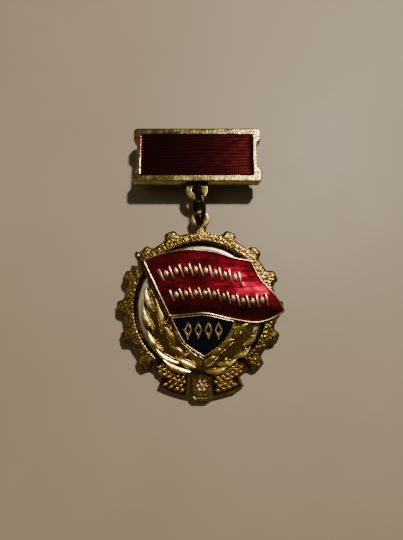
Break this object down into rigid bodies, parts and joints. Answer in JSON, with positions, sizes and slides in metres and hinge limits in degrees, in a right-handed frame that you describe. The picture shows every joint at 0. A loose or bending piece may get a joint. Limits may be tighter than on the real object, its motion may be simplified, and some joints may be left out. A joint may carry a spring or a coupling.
{
  "type": "suspended award badge",
  "caption": "Gear-rimmed enamelled pendant on a jump ring under an enamelled bar with a brooch pin and catch on its back.",
  "frame": {"origin": "middle of the pendant's back face, behind the centre of its gear rim", "axes": "+X across the badge to the right as seen from its face, +Y up the badge from pendant to bar, +Z out of the face; the badge lies face up"},
  "size_m": [0.0314, 0.0522, 0.0067],
  "materials": {
    "gilt_grained": "gilt, finely grained",
    "gilt_polished": "gilt, polished",
    "gilt_bar": "gilt, brushed and worn",
    "enamel_red": "translucent fired enamel",
    "enamel_bar": "translucent fired enamel over fine waves",
    "enamel_blue": "dark glossy enamel",
    "ring_dark": "dark oxidised wire",
    "clasp_brass": "plain sheet",
    "pin_steel": "drawn wire"
  },
  "bodies": {
    "bar": {"block_plate": "gilt_bar", "block_enamel": "enamel_bar", "hinge_bracket": "clasp_brass", "hinge_rivet": "clasp_brass", "catch_clip": "clasp_brass"},
    "pin": {"brooch_pin": "pin_steel"},
    "ring": {"jump_ring": "ring_dark"},
    "pendant": {"gear_base": "gilt_grained", "centre_disc": "gilt_polished", "rivet_left": "clasp_brass", "rivet_right": "clasp_brass", "flagpole": "gilt_polished", "flag_plate": "gilt_polished", "flag_enamel": "enamel_red", "shield_plate": "gilt_polished", "shield_enamel": "enamel_blue", "laurel_left": "gilt_polished", "laurel_right": "gilt_polished", "wheat_left": "gilt_grained", "wheat_right": "gilt_grained", "emblem_plate": "gilt_grained", "emblem_rosette": "gilt_polished"}
  },
  "joints": [
    {"name": "pin_hinge", "type": "hinge", "parent": "bar", "child": "pin", "pos_m": [0.00786, 0.02938, 0.00048], "axis": [0, -1, 0], "range_deg": [0, 100]},
    {"name": "ring_swing", "type": "hinge", "parent": "bar", "child": "ring", "pos_m": [-0.00064, 0.02254, 0.00308], "axis": [0, 0, 1], "range_deg": [-40, 40]},
    {"name": "pendant_swing", "type": "hinge", "parent": "ring", "child": "pendant", "pos_m": [-0.00018, 0.01966, 0.00264], "axis": [-0.9584, -0.1863, 0.2164], "range_deg": [-60, 75]}
  ]
}
